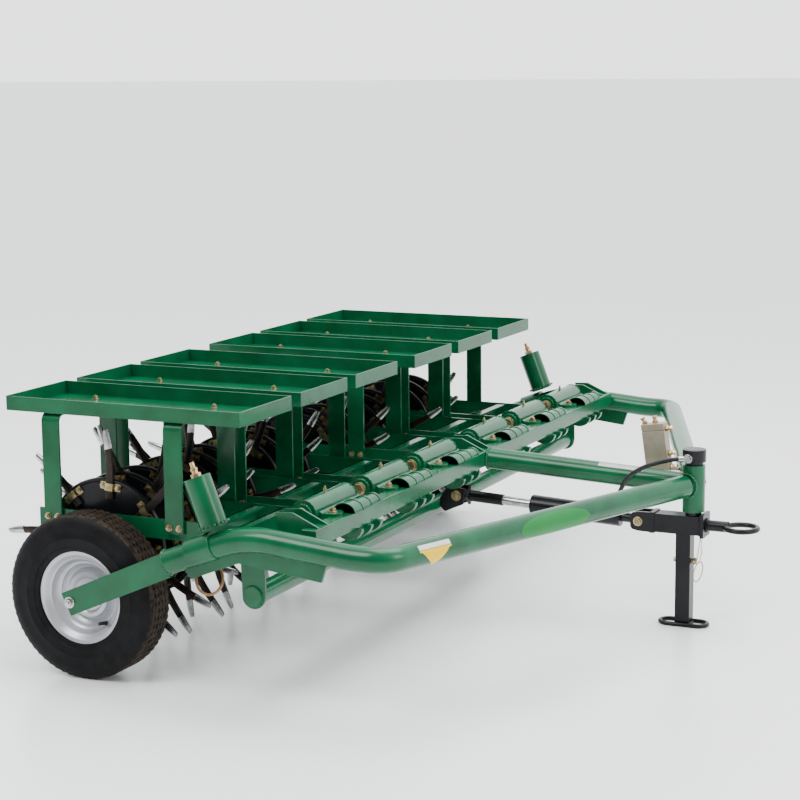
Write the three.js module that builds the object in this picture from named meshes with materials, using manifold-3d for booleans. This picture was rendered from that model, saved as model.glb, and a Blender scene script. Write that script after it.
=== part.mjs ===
// Pull-behind core aerator: a tubular A-frame on two wheels carries six hinged tine modules,
// each with a weight tray, a tine drum and its own pivot. Millimetres, +Z up, +X towards the hitch.
import * as THREE from 'three';
import { mergeVertices } from 'three/addons/utils/BufferGeometryUtils.js';
import Module from 'manifold-3d';

const wasm = await Module();
wasm.setup();

const ORIGIN_X = 572;            // shifts the model so its origin is under the middle of its length
const GAP = 0.3;                 // air between touching pieces
const SHAFT_SIDES = 12;          // facets of a small shaft and of the bore it turns in
const boreFor = (shaft) => (shaft + GAP) / Math.cos(Math.PI / SHAFT_SIDES);

// Modules
const MODULE_Y = [-814.5, -502, -189.5, 189.5, 502, 814.5];   // module middles, right to left
const TRAY = { rear: -247, front: 419, width: 264, top: 674, rim: 37, sheet: 3 };
const HOOP = { half: 131, thick: 6, width: 50, top: 636.7, foot: 362, x: [-119, 231] };
const RAIL_Y = 119;              // side plate middle, from the module's middle
const RAIL_THICK = 6;
const RIB_Y = [-14, 39.5, 93];     // clamp ribs of a hinge sleeve, from the module's middle
const PIVOT = { x: 575, z: 440, r: 12.5, half: 148 };

// Tine drums
const DRUM = { x: 8, z: 308, shaft: 17, disc: 168, tip: 290, plate: 6, tines: 8 };
const DISC_Y = [-84, 0, 84];

// Running gear
const WHEEL = { x: 17, z: 205, y: 999 };
const AXLE_R = 12.5;
const ARM = { y: 1080, thick: 10 };

// Frame tubes
const TUBE_R = 30;
const SIDE_Y = 1078;
const HEAD = { x: 1250, r: 29.5, bore: 22, low: 311, high: 437 };
const LOW_TUBE = { x: 508, z: 265, r: 24, half: 1062 };
const BAR = { x: 649, z: 412, wide: 38, deep: 42, half: 1046 };

// Hitch
const DRAWBAR = { rear: 1143, front: 1279, z: 276, side: 50 };
const EYE = { x: 1380, ring: 42, bar: 7 };
const STRUT = { rear: [580, 301], front: [1105, 276] };

const PAINT = { green: 0x0b5a33, black: 0x101112, zinc: 0xb9a871, silver: 0xb8bbbf, rubber: 0x1a1a1b,
  steel: 0x8d9094, tan: 0x9a8f78 };

const group = new THREE.Group();
group.position.x = -ORIGIN_X;

function add(name, geometry, color, metalness = 0.2, roughness = 0.4) {
  const material = new THREE.MeshStandardMaterial({ color, metalness, roughness });
  const mesh = new THREE.Mesh(geometry, material);
  mesh.name = name;
  group.add(mesh);
}

// Booleans -------------------------------------------------------------------------------------
function solid(geometry) {
  const bare = geometry.clone();
  bare.deleteAttribute('normal');
  bare.deleteAttribute('uv');
  const merged = mergeVertices(bare, 1e-4);
  const triVerts = new Uint32Array(merged.index.array);
  const vertProperties = new Float32Array(merged.attributes.position.array);
  return new wasm.Manifold(new wasm.Mesh({ numProp: 3, vertProperties, triVerts }));
}

function surface(body) {
  const mesh = body.getMesh();
  const geometry = new THREE.BufferGeometry();
  geometry.setAttribute('position', new THREE.BufferAttribute(new Float32Array(mesh.vertProperties), 3));
  geometry.setIndex(new THREE.BufferAttribute(new Uint32Array(mesh.triVerts), 1));
  geometry.computeVertexNormals();
  return geometry;
}

const join = (...pieces) => pieces.reduce((sum, piece) => sum.add(piece));
const cut = (body, ...tools) => tools.reduce((rest, tool) => rest.subtract(tool), body);

// Basic solids ---------------------------------------------------------------------------------
function box(x0, x1, y0, y1, z0, z1) {
  const geometry = new THREE.BoxGeometry(x1 - x0, y1 - y0, z1 - z0);
  return solid(geometry.translate((x0 + x1) / 2, (y0 + y1) / 2, (z0 + z1) / 2));
}

function rodY(r, x, z, y0, y1, sides = 20) {
  const geometry = new THREE.CylinderGeometry(r, r, y1 - y0, sides);
  return solid(geometry.translate(x, (y0 + y1) / 2, z));
}

function rodZ(r, x, y, z0, z1, sides = 20) {
  const geometry = new THREE.CylinderGeometry(r, r, z1 - z0, sides).rotateX(Math.PI / 2);
  return solid(geometry.translate(x, y, (z0 + z1) / 2));
}

function rodBetween(r, from, to, sides = 16) {
  const a = new THREE.Vector3(...from);
  const b = new THREE.Vector3(...to);
  const along = b.clone().sub(a);
  const up = new THREE.Vector3(0, 1, 0);
  const turn = new THREE.Quaternion().setFromUnitVectors(up, along.clone().normalize());
  const geometry = new THREE.CylinderGeometry(r, r, along.length(), sides).applyQuaternion(turn);
  return solid(geometry.translate(...a.add(b).multiplyScalar(0.5).toArray()));
}

// A flat plate whose outline lies in the X-Z plane, from y0 to y1.
function plateXZ(points, y0, y1) {
  const outline = new THREE.Shape(points.map(([x, z]) => new THREE.Vector2(x, z)));
  const geometry = new THREE.ExtrudeGeometry(outline, { depth: y1 - y0, bevelEnabled: false });
  return solid(geometry.rotateX(Math.PI / 2).translate(0, y1, 0));
}

// A body of revolution round the Y axis through (x, z); the profile lists [radius, y].
function lathe(profile, x, z, sides) {
  const points = profile.map(([r, y]) => new THREE.Vector2(r, y));
  return new THREE.LatheGeometry(points, sides).translate(x, 0, z);
}

// A round section swept along a path.
function sweep(path, r, steps, sides = 12) {
  const section = new THREE.Shape();
  for (let i = 0; i < sides; i += 1) {
    const a = (2 * Math.PI * i) / sides;
    section[i ? 'lineTo' : 'moveTo'](r * Math.cos(a), r * Math.sin(a));
  }
  return solid(new THREE.ExtrudeGeometry(section, { steps, bevelEnabled: false, extrudePath: path }));
}

// Straight runs joined by rounded corners; corners[i] is how far the bend reaches along each leg.
function bentPath(points, corners) {
  const at = points.map((p) => new THREE.Vector3(...p));
  const path = new THREE.CurvePath();
  let start = at[0];
  for (let i = 1; i < at.length - 1; i += 1) {
    const before = at[i].clone().lerp(at[i - 1], corners[i - 1] / at[i].distanceTo(at[i - 1]));
    const after = at[i].clone().lerp(at[i + 1], corners[i - 1] / at[i].distanceTo(at[i + 1]));
    path.add(new THREE.LineCurve3(start, before));
    path.add(new THREE.QuadraticBezierCurve3(before, at[i], after));
    start = after;
  }
  path.add(new THREE.LineCurve3(start, at[at.length - 1]));
  return path;
}

// Module pieces --------------------------------------------------------------------------------
function tray(y) {
  const half = TRAY.width / 2;
  const floor = TRAY.top - TRAY.rim;
  const outer = box(TRAY.rear, TRAY.front, y - half, y + half, floor, TRAY.top);
  const t = TRAY.sheet;
  return cut(outer, box(TRAY.rear + t, TRAY.front - t, y - half + t, y + half - t, floor + t, TRAY.top + 1));
}

function hoop(x, y) {
  const a = x - HOOP.width / 2;
  const b = x + HOOP.width / 2;
  const t = HOOP.thick;
  const outer = box(a, b, y - HOOP.half, y + HOOP.half, HOOP.foot, HOOP.top);
  return cut(outer, box(a - 1, b + 1, y - HOOP.half + t, y + HOOP.half - t, HOOP.foot - 1, HOOP.top - t));
}

function sidePlate(y) {
  const eyeR = 24;
  const outline = [[-165, 345], [-24, 345], [-24, 285], [DRUM.x, 276], [40, 285], [40, 345], [440, 345],
    [520, 385], [PIVOT.x, PIVOT.z - eyeR], [PIVOT.x + eyeR, PIVOT.z - 8], [PIVOT.x + eyeR, PIVOT.z + 8],
    [PIVOT.x, PIVOT.z + eyeR], [PIVOT.x - 14, PIVOT.z + 20], [430, 395], [-165, 395]];
  const half = RAIL_THICK / 2;
  return plateXZ(outline, y - half, y + half);
}

function moduleFrame(y) {
  const reach = RAIL_Y - 1;
  const parts = HOOP.x.map((x) => hoop(x, y));
  for (const side of [-1, 1]) {
    parts.push(sidePlate(y + side * RAIL_Y));
    const inner = y + side * (RAIL_Y + RAIL_THICK / 2 - 1);
    const outer = y + side * (HOOP.half - HOOP.thick + 1);
    for (const x of HOOP.x) {
      parts.push(box(x - 22, x + 22, Math.min(inner, outer), Math.max(inner, outer), HOOP.foot, 392));
    }
  }
  for (const x of [320, 400]) {
    parts.push(box(x - 3, x + 3, y - reach, y + reach, 352, 392));
    parts.push(box(x - 3, x + 27, y - reach, y + reach, 386, 392));
  }
  return cut(join(...parts), rodY(PIVOT.r + GAP, PIVOT.x, PIVOT.z, y - 140, y + 140, SHAFT_SIDES),
    rodY(boreFor(DRUM.shaft), DRUM.x, DRUM.z, y - 140, y + 140, SHAFT_SIDES));
}

function tine(y, angle) {
  const half = 11;
  const steps = [[135, 0], [DRUM.tip, 26]];
  const left = steps.map(([r, bend], i) => [r, bend - half + 8 * i]);
  const right = steps.map(([r, bend]) => [r, bend + half]).reverse();
  const turned = [...left, ...right].map(([r, side]) => [
    DRUM.x + r * Math.cos(angle) - side * Math.sin(angle),
    DRUM.z + r * Math.sin(angle) + side * Math.cos(angle)]);
  return plateXZ(turned, y, y + 9);
}

function drum(y, phase) {
  const parts = [rodY(DRUM.shaft, DRUM.x, DRUM.z, y - 128, y + 128, SHAFT_SIDES)];
  DISC_Y.forEach((offset, row) => {
    const face = y + offset;
    parts.push(rodY(DRUM.disc, DRUM.x, DRUM.z, face - DRUM.plate / 2, face + DRUM.plate / 2, 16));
    for (let i = 0; i < DRUM.tines; i += 1) {
      const angle = phase + (2 * Math.PI * (i + row / 3)) / DRUM.tines;
      parts.push(tine(face - DRUM.plate / 2 - 8.5, angle));
    }
  });
  return join(...parts);
}

function hingeSleeve(y) {
  const half = 111;
  const shell = rodY(31, PIVOT.x, PIVOT.z, y - half, y + half, 16);
  const parts = [shell, box(601, 632, y - 40, y + 119, 392, 434)];
  for (const offset of RIB_Y) {
    parts.push(rodY(38, BAR.x - 6, BAR.z, y + offset - 25, y + offset + 25, 12));
    parts.push(rodY(36, BAR.x - 6, BAR.z - 20, y + offset - 9, y + offset + 9, 12));
  }
  const front = BAR.x + BAR.wide / 2;
  const barSlot = box(BAR.x - BAR.wide / 2 - GAP, 800, y - 300, y + 300,
    BAR.z - BAR.deep / 2 - GAP, BAR.z + BAR.deep / 2 + GAP);
  return cut(join(...parts), barSlot, box(front, 800, y - 300, y + 300, 200, 600),
    rodY(boreFor(PIVOT.r), PIVOT.x, PIVOT.z, y - 200, y + 200, SHAFT_SIDES));
}

function pivotBolt(y) {
  const head = 16;
  const out = 122 + GAP;
  return join(rodY(PIVOT.r, PIVOT.x, PIVOT.z, y - out - 10, y + out + 10, SHAFT_SIDES),
    rodY(head, PIVOT.x, PIVOT.z, y + out, y + out + 12, 6),
    rodY(head, PIVOT.x, PIVOT.z, y - out - 12, y - out, 6));
}

MODULE_Y.forEach((y, index) => {
  const n = index + 1;
  add(`weight_tray_${n}`, surface(tray(y)), PAINT.green);
  add(`module_frame_${n}`, surface(moduleFrame(y)), PAINT.green);
  add(`tine_drum_${n}`, surface(drum(y, 0.12 + index * 0.21)), PAINT.black, 0.5);
  add(`hinge_sleeve_${n}`, surface(hingeSleeve(y)), PAINT.green);
  add(`pivot_bolt_${n}`, surface(pivotBolt(y)), PAINT.zinc, 0.8);
});

// Frame ----------------------------------------------------------------------------------------
function sidePath(side) {
  const y = side * SIDE_Y;
  return bentPath([[292, y, 330], [500, y, 411], [776, y, 387], [858, y, 387], [1235, side * 42, 384]],
    [70, 30, 50]);
}

function gusset(side) {
  const outline = [[335, 325], [357, 300], [485, 347], [699, 323], [712, 380], [500, 400], [335, 335]];
  const y = side * SIDE_Y;
  const strip = plateXZ(outline, y - 5, y + 5);
  return cut(strip, sweep(sidePath(side), TUBE_R + GAP, 32, 10));
}

function hanger(side) {
  const y0 = side > 0 ? SIDE_Y - 28 : -SIDE_Y + 22;
  const outline = [[474, 392], [538, 392], [540, 265], [530, 242], [508, 233], [486, 242], [476, 265]];
  const plate = plateXZ(outline, y0, y0 + 6);
  return cut(plate, sweep(sidePath(side), TUBE_R + GAP, 32, 10),
    rodY(LOW_TUBE.r + GAP, LOW_TUBE.x, LOW_TUBE.z, -1200, 1200, 24));
}

function liftPost(side) {
  const y = side * (SIDE_Y - 6);
  const post = rodBetween(33, [420, y, 418], [373, y, 540], 20);
  const saddle = rodBetween(36, [356, side * SIDE_Y, 356], [424, side * SIDE_Y, 383], 20);
  const below = plateXZ([[300, 335], [480, 405], [480, 200], [300, 200]], -1200, 1200);
  return cut(join(post, saddle), sweep(sidePath(side), TUBE_R + GAP, 32, 10), below);
}

function wheelArm(side) {
  const outline = [[19, 171], [-7, 225], [278.5, 351.5], [301.5, 295.5]];
  const y = side * ARM.y;
  const plate = plateXZ(outline, y - ARM.thick / 2, y + ARM.thick / 2);
  return cut(plate, sweep(sidePath(side), TUBE_R + GAP, 32, 10),
    rodY(AXLE_R + GAP, WHEEL.x, WHEEL.z, -1200, 1200));
}

// Radius and offset along the axle, the outer face first.
const RIM = [[13, 30], [13, -22], [30, -22], [34, -8], [58, -8], [70, 8], [84, 8], [98, -26],
  [110, -41], [116, -41], [106, -26], [106, 30], [116, 41], [108, 41], [96, 18], [62, 14], [34, 2],
  [34, 30], [13, 30]];

const TYRE = [[116.6, -46], [150, -53], [193, -48], [205, -36], [205, 36], [193, 48],
  [150, 53], [116.6, 46], [116.6, 40.7], [106.4, 25], [106.4, -25], [116.6, -40.7], [116.6, -46]];

function wheel(side) {
  const name = side < 0 ? 'right' : 'left';
  const turn = (geometry) => {
    if (side > 0) geometry.rotateZ(Math.PI).translate(2 * WHEEL.x, 0, 0);
    return solid(geometry.translate(0, side * WHEEL.y, 0));
  };
  add(`wheel_rim_${name}`, surface(turn(lathe(RIM, WHEEL.x, WHEEL.z, 24))), PAINT.silver, 0.7);
  add(`tyre_${name}`, surface(turn(lathe(TYRE, WHEEL.x, WHEEL.z, 24))), PAINT.rubber, 0, 0.9);
  const reach = side * (ARM.y + ARM.thick / 2 + 4);
  const inner = side * (WHEEL.y - 44);
  const axle = rodY(AXLE_R, WHEEL.x, WHEEL.z, Math.min(reach, inner), Math.max(reach, inner), 18);
  const flange = side * (ARM.y - ARM.thick / 2 - GAP);
  const collar = rodY(20, WHEEL.x, WHEEL.z, Math.min(flange, flange - side * 10),
    Math.max(flange, flange - side * 10), 18);
  const nut = side * (WHEEL.y - 33);
  const lock = rodY(19, WHEEL.x, WHEEL.z, Math.min(nut, nut - side * 10), Math.max(nut, nut - side * 10), 6);
  const head = side * (ARM.y + ARM.thick / 2 + GAP);
  const tip = head + side * 11;
  const cap = rodY(18, WHEEL.x, WHEEL.z, Math.min(head, tip), Math.max(head, tip), 6);
  add(`axle_${name}`, surface(join(axle, collar, lock, cap)), PAINT.zinc, 0.8);
}

const headTube = rodZ(HEAD.r, HEAD.x, 0, HEAD.low, HEAD.high, 28);
const headClear = rodZ(HEAD.r + GAP, HEAD.x, 0, HEAD.low - 200, HEAD.high + 200, 28);
add('head_tube', surface(cut(headTube, rodZ(HEAD.bore, HEAD.x, 0, 300, 500))), PAINT.green);
const centreEnd = [HEAD.x, 0, 383];
const centreStart = [BAR.x, 0, 411.5];
const barClear = box(600, BAR.x + BAR.wide / 2 + GAP, -60, 60, 300, 500);
const centreTube = cut(rodBetween(29, centreStart, centreEnd, 20), headClear, barClear);
add('centre_tube', surface(centreTube), PAINT.green);
const centreClear = rodBetween(29 + GAP, [640, 0, 412], centreEnd, 20);

for (const side of [-1, 1]) {
  const name = side < 0 ? 'right' : 'left';
  const tube = cut(sweep(sidePath(side), TUBE_R, 32, 10), headClear, centreClear);
  add(`side_tube_${name}`, surface(tube), PAINT.green);
  add(`gusset_${name}`, surface(gusset(side)), PAINT.green);
  add(`hanger_${name}`, surface(hanger(side)), PAINT.green);
  add(`lift_post_${name}`, surface(liftPost(side)), PAINT.green);
  add(`wheel_arm_${name}`, surface(wheelArm(side)), PAINT.green);
  wheel(side);
}

const frontBar = box(BAR.x - BAR.wide / 2, BAR.x + BAR.wide / 2, -BAR.half, BAR.half,
  BAR.z - BAR.deep / 2, BAR.z + BAR.deep / 2);
add('front_bar', surface(cut(frontBar, sweep(sidePath(-1), TUBE_R + GAP, 32, 10),
  sweep(sidePath(1), TUBE_R + GAP, 32, 10))), PAINT.green);
add('lower_cross_tube', surface(rodY(LOW_TUBE.r, LOW_TUBE.x, LOW_TUBE.z, -LOW_TUBE.half, LOW_TUBE.half, 24)),
  PAINT.green);

// Hitch ----------------------------------------------------------------------------------------
const [rearX, rearZ] = STRUT.rear;
const [frontX, frontZ] = STRUT.front;
const strutAt = (t) => [rearX + (frontX - rearX) * t, 0, rearZ + (frontZ - rearZ) * t];

function strutLug() {
  const outline = [[528, 262], [545, 252], [600, 282], [604, 322], [560, 326], [528, 290]];
  const plates = join(plateXZ(outline, -26, -18), plateXZ(outline, 18, 26),
    plateXZ([[524, 262], [545, 252], [550, 262], [550, 318], [536, 308]], -20, 20));
  const pin = rodY(9, rearX, rearZ, -32, 32, 16);
  return cut(join(plates, pin), rodY(LOW_TUBE.r + GAP, LOW_TUBE.x, LOW_TUBE.z, -50, 50, 24));
}

function strutRod() {
  const body = join(rodBetween(20, strutAt(-0.035), strutAt(0.06), 4),
    rodBetween(15, strutAt(0.05), strutAt(0.25)),
    rodBetween(12.5, strutAt(0.24), strutAt(0.72)));
  return cut(body, rodY(9.4, rearX, rearZ, -40, 40, 16), box(500, 620, 17, 60, 200, 400),
    box(500, 620, -60, -17, 200, 400));
}

function strutBarrel() {
  const eye = rodBetween(13, strutAt(0.86), strutAt(1), 16);
  const end = rodY(17, frontX, frontZ, -12, 12, 18);
  const body = join(rodBetween(26.5, strutAt(0.41), strutAt(0.9), 24), eye, end);
  return cut(body, rodBetween(12.9, strutAt(0.3), strutAt(0.84)), rodY(10.5, frontX, frontZ, -40, 40, 18));
}

function drawbar() {
  const half = DRAWBAR.side / 2;
  const beam = box(DRAWBAR.rear, DRAWBAR.front, -half, half, DRAWBAR.z - half, DRAWBAR.z + half);
  const ear = [[1085, 258], [1105, 250], [1150, 250], [1150, 302], [1105, 302], [1085, 294]];
  const ears = join(plateXZ(ear, -half, -half + 9), plateXZ(ear, half - 9, half),
    box(1138, 1150, -half, half, 250, 302), rodY(8, frontX, frontZ, -34, 34, 16));
  const shank = rodBetween(15, [1270, 0, DRAWBAR.z], [EYE.x - EYE.ring + 4, 0, DRAWBAR.z], 16);
  const ring = solid(new THREE.TorusGeometry(EYE.ring, EYE.bar, 8, 24).translate(EYE.x, 0, DRAWBAR.z));
  const frontPlate = box(1276, 1286, -32, 32, 246, 308);
  const ram = rodZ(HEAD.bore - GAP, HEAD.x, 0, 290, 425, 24);
  const legHole = box(1208 - GAP, 1248 + GAP, -20 - GAP, 20 + GAP, 200, 292);
  return cut(join(beam, ears, shank, ring, frontPlate, ram), legHole);
}

function jackLeg() {
  const leg = box(1208, 1248, -20, 20, 4, 291);
  const plate = join(rodZ(32, 1190, 0, 0, 11, 24), rodZ(32, 1266, 0, 0, 11, 24),
    box(1190, 1266, -32, 32, 0, 11));
  const hollow = join(rodZ(21, 1190, 0, -1, 12, 20), rodZ(21, 1266, 0, -1, 12, 20),
    box(1190, 1266, -21, 21, -1, 12));
  const foot = join(cut(plate, hollow), box(1204, 1252, -31, 31, 0, 11));
  return cut(join(leg, foot), rodBetween(6.3, [1180, 0, 176], [1280, 0, 176], 12));
}

add('strut_lug', surface(strutLug()), PAINT.black);
add('strut_rod', surface(strutRod()), PAINT.steel, 0.9, 0.25);
add('strut_barrel', surface(strutBarrel()), PAINT.black);
add('drawbar', surface(drawbar()), PAINT.black);
add('jack_leg', surface(jackLeg()), PAINT.black);
const jackPin = join(rodBetween(6, [1198, 0, 176], [1262, 0, 176], 12),
  rodBetween(9, [1252, 0, 176], [1260, 0, 176], 12));
add('jack_pin', surface(jackPin), PAINT.zinc, 0.8);
add('cylinder_cap', surface(join(rodZ(31, HEAD.x, 0, 443, 478, 28), rodZ(21, HEAD.x, 0, 430, 446, 28),
  rodZ(24, HEAD.x, 0, HEAD.high + GAP, 446, 28))), PAINT.black);

// Hydraulics -----------------------------------------------------------------------------------
const blockBody = solid(new THREE.BoxGeometry(64, 40, 134).rotateY(-0.14).translate(1104, 140, 447));
const tubeClear = sweep(sidePath(1), TUBE_R + GAP, 32, 10);
const blockFoot = box(1110, 1180, 130, 150, 388, 396);
add('flow_divider', surface(cut(join(blockBody, blockFoot), tubeClear)), PAINT.tan, 0.1, 0.6);

const hosePath = new THREE.CatmullRomCurve3([[1238, -34, 456], [1205, -50, 455], [1168, -62, 446],
  [1125, -62, 428], [1085, -52, 398], [1060, -40, 358],
  [1052, -34, 335]].map((p) => new THREE.Vector3(...p)));
const hoseClear = join(centreClear, rodZ(31 + GAP, HEAD.x, 0, 400, 500, 28));
add('hose', surface(cut(sweep(hosePath, 6, 16, 8), hoseClear)), PAINT.rubber, 0, 0.7);

export default group;
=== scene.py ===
"""Core aerator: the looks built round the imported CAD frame. Metres, +Z up, +X towards the tow eye."""
import math
import random

import bmesh
import bpy
from mathutils import Matrix, Vector


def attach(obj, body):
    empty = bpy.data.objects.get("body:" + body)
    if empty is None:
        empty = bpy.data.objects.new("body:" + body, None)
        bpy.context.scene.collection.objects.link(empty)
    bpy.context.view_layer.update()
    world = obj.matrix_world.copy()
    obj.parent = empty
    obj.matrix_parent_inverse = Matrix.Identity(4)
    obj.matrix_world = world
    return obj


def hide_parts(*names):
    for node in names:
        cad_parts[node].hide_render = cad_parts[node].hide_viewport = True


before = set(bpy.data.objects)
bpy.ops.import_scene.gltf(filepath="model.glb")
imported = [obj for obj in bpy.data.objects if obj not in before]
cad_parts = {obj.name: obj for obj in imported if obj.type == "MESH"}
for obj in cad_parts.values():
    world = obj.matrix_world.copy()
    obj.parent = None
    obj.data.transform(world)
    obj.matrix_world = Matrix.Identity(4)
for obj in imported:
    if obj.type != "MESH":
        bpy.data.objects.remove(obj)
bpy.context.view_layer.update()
ORIGIN_X = 0.572                       # the frame's origin, measured forward from the module datum
MODULE_Y = [-0.8145, -0.502, -0.1895, 0.1895, 0.502, 0.8145]
HOOP_X = (-0.119, 0.231)               # middles of the two hoops that carry a tray
HOOP_HALF = 0.131                      # half the width over a hoop
RAIL_Y = 0.119                         # side plate middle, from the module's middle
RIB_Y = (-0.014, 0.0395, 0.093)        # clamp ribs of a hinge sleeve, from the module's middle
PIVOT = (0.575, 0.440)                 # x and z of the hinge line
DRUM_AXIS = (0.008, 0.308)             # x and z of the tine drums' line
DISC_Y = (-0.084, 0.0, 0.084)
TINES = 8                              # tines on each disc
WHEEL = (0.017, 0.999, 0.205)          # x, distance from the middle, and height of the hubs
ARM_Y = 1.080
TUBE_R = 0.030
SIDE_Y = 1.078
SIDE_END = (1.235, 0.042, 0.384)       # where a side tube meets the head tube
SIDE_KNEE = (0.858, 0.387)             # x and z of the side tube's last bend
LOW_TUBE = (0.508, 0.265)              # x and z of the lower cross tube
HEAD_X = 1.250
DRAW_Z = 0.276
LEG_PIN_Z = 0.176
FLAT_EDGE = math.radians(38)           # edges sharper than this get a bevel or stay hard
TAU = 2 * math.pi
rng = random.Random(4)


def at(x, y, z):
    """A point given in the machine's own datum, in the row's frame."""
    return Vector((x - ORIGIN_X, y, z))


# Camera ---------------------------------------------------------------------------------------
def make_camera():
    azimuth = math.radians(24.8)
    elevation = math.radians(9.58)
    roll = math.radians(-0.48)
    back = Vector((math.sin(azimuth) * math.cos(elevation), -math.cos(azimuth) * math.cos(elevation),
                   math.sin(elevation)))
    right = Vector((math.cos(azimuth), math.sin(azimuth), 0))
    up = back.cross(right)
    turned_right = right * math.cos(roll) + up * math.sin(roll)
    turned_up = up * math.cos(roll) - right * math.sin(roll)
    camera = bpy.data.objects.new("camera", bpy.data.cameras.new("camera"))
    camera.data.lens = 88.79
    camera.data.sensor_width = 36
    matrix = Matrix((turned_right, turned_up, back)).transposed().to_4x4()
    matrix.translation = at(2.6827, -4.94243, 1.47371)
    camera.matrix_world = matrix
    bpy.context.collection.objects.link(camera)
    bpy.context.scene.camera = camera


# Materials ------------------------------------------------------------------------------------
def material(name, dark, light, metallic=0.0, rough=(0.3, 0.45), bump=0.05, grain=400, patch=12, coat=0.0,
             specular=0.4):
    """A surface whose colour drifts in large patches and whose gloss and relief follow a fine grain."""
    made = bpy.data.materials.new(name)
    made.use_nodes = True
    nodes = made.node_tree.nodes
    link = made.node_tree.links.new
    shader = nodes["Principled BSDF"]
    shader.inputs["Metallic"].default_value = metallic
    shader.inputs["Coat Weight"].default_value = coat
    shader.inputs["Coat Roughness"].default_value = 0.08
    shader.inputs["Specular IOR Level"].default_value = specular
    where = nodes.new("ShaderNodeTexCoord")
    drift = nodes.new("ShaderNodeTexNoise")
    drift.inputs["Scale"].default_value = patch
    drift.inputs["Detail"].default_value = 6
    link(where.outputs["Object"], drift.inputs["Vector"])
    ramp = nodes.new("ShaderNodeValToRGB")
    ramp.color_ramp.elements[0].position = 0.35
    ramp.color_ramp.elements[0].color = (*dark, 1)
    ramp.color_ramp.elements[1].position = 0.68
    ramp.color_ramp.elements[1].color = (*light, 1)
    link(drift.outputs["Fac"], ramp.inputs["Fac"])
    link(ramp.outputs["Color"], shader.inputs["Base Color"])
    fine = nodes.new("ShaderNodeTexNoise")
    fine.inputs["Scale"].default_value = grain
    fine.inputs["Detail"].default_value = 4
    link(where.outputs["Object"], fine.inputs["Vector"])
    gloss = nodes.new("ShaderNodeMapRange")
    gloss.inputs["To Min"].default_value = rough[0]
    gloss.inputs["To Max"].default_value = rough[1]
    link(fine.outputs["Fac"], gloss.inputs["Value"])
    link(gloss.outputs["Result"], shader.inputs["Roughness"])
    relief = nodes.new("ShaderNodeBump")
    relief.inputs["Strength"].default_value = bump
    relief.inputs["Distance"].default_value = 0.001
    link(fine.outputs["Fac"], relief.inputs["Height"])
    link(relief.outputs["Normal"], shader.inputs["Normal"])
    return made


GREEN = material("green_paint", (0.0, 0.066, 0.022), (0.0, 0.100, 0.037), rough=(0.2, 0.3), bump=0.05,
                 grain=220, coat=0.15, specular=0.26)
BLACK = material("black_paint", (0.003, 0.003, 0.004), (0.008, 0.008, 0.010), rough=(0.24, 0.38), bump=0.05,
                 grain=260, coat=0.08, specular=0.2)
WORN = material("worn_black", (0.006, 0.006, 0.006), (0.035, 0.022, 0.017), metallic=0.5, rough=(0.25, 0.5),
                bump=0.3, grain=180, patch=26)
ZINC = material("zinc_plate", (0.26, 0.19, 0.085), (0.55, 0.47, 0.29), metallic=0.95, rough=(0.22, 0.4),
                bump=0.1, grain=500, patch=60)
STEEL = material("bright_steel", (0.34, 0.34, 0.34), (0.62, 0.62, 0.61), metallic=1.0, rough=(0.14, 0.34),
                 bump=0.15, grain=300, patch=50)
SILVER = material("silver_rim", (0.42, 0.43, 0.46), (0.52, 0.53, 0.56), metallic=0.45, rough=(0.28, 0.4),
                  bump=0.06, grain=700, patch=8, coat=0.2)
RUBBER = material("tyre_rubber", (0.003, 0.003, 0.0035), (0.007, 0.007, 0.008), rough=(0.42, 0.62), bump=0.35,
                  grain=260, patch=30, specular=0.12)
TREAD = material("tread_rubber", (0.008, 0.007, 0.006), (0.04, 0.027, 0.018), rough=(0.55, 0.85), bump=0.8,
                 grain=160, patch=70, specular=0.12)
HOSE = material("hose_rubber", (0.008, 0.008, 0.009), (0.016, 0.016, 0.017), rough=(0.3, 0.5), bump=0.3,
                grain=900, patch=40, specular=0.3)
TAN = material("tan_block", (0.27, 0.235, 0.17), (0.35, 0.31, 0.235), metallic=0.25, rough=(0.32, 0.5),
               bump=0.2, grain=700, patch=30)
BRASS = material("brass_fitting", (0.45, 0.27, 0.12), (0.66, 0.45, 0.24), metallic=1.0, rough=(0.2, 0.4),
                 bump=0.1, grain=500, patch=60)
BRONZE = material("bronze_ring", (0.20, 0.12, 0.055), (0.33, 0.21, 0.11), metallic=0.8, rough=(0.3, 0.5),
                  bump=0.2, grain=400, patch=60)
OVAL = material("plain_oval", (0.004, 0.16, 0.03), (0.006, 0.18, 0.036), rough=(0.34, 0.44), specular=0.2)
YELLOW = material("plain_yellow", (0.80, 0.50, 0.0), (0.86, 0.56, 0.0), rough=(0.34, 0.44), specular=0.2)
WHITE = material("plain_white", (0.60, 0.60, 0.58), (0.66, 0.66, 0.64), rough=(0.34, 0.44), specular=0.2)
GREY = material("plain_label", (0.30, 0.30, 0.30), (0.36, 0.36, 0.35), metallic=0.4, rough=(0.3, 0.4))


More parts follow.
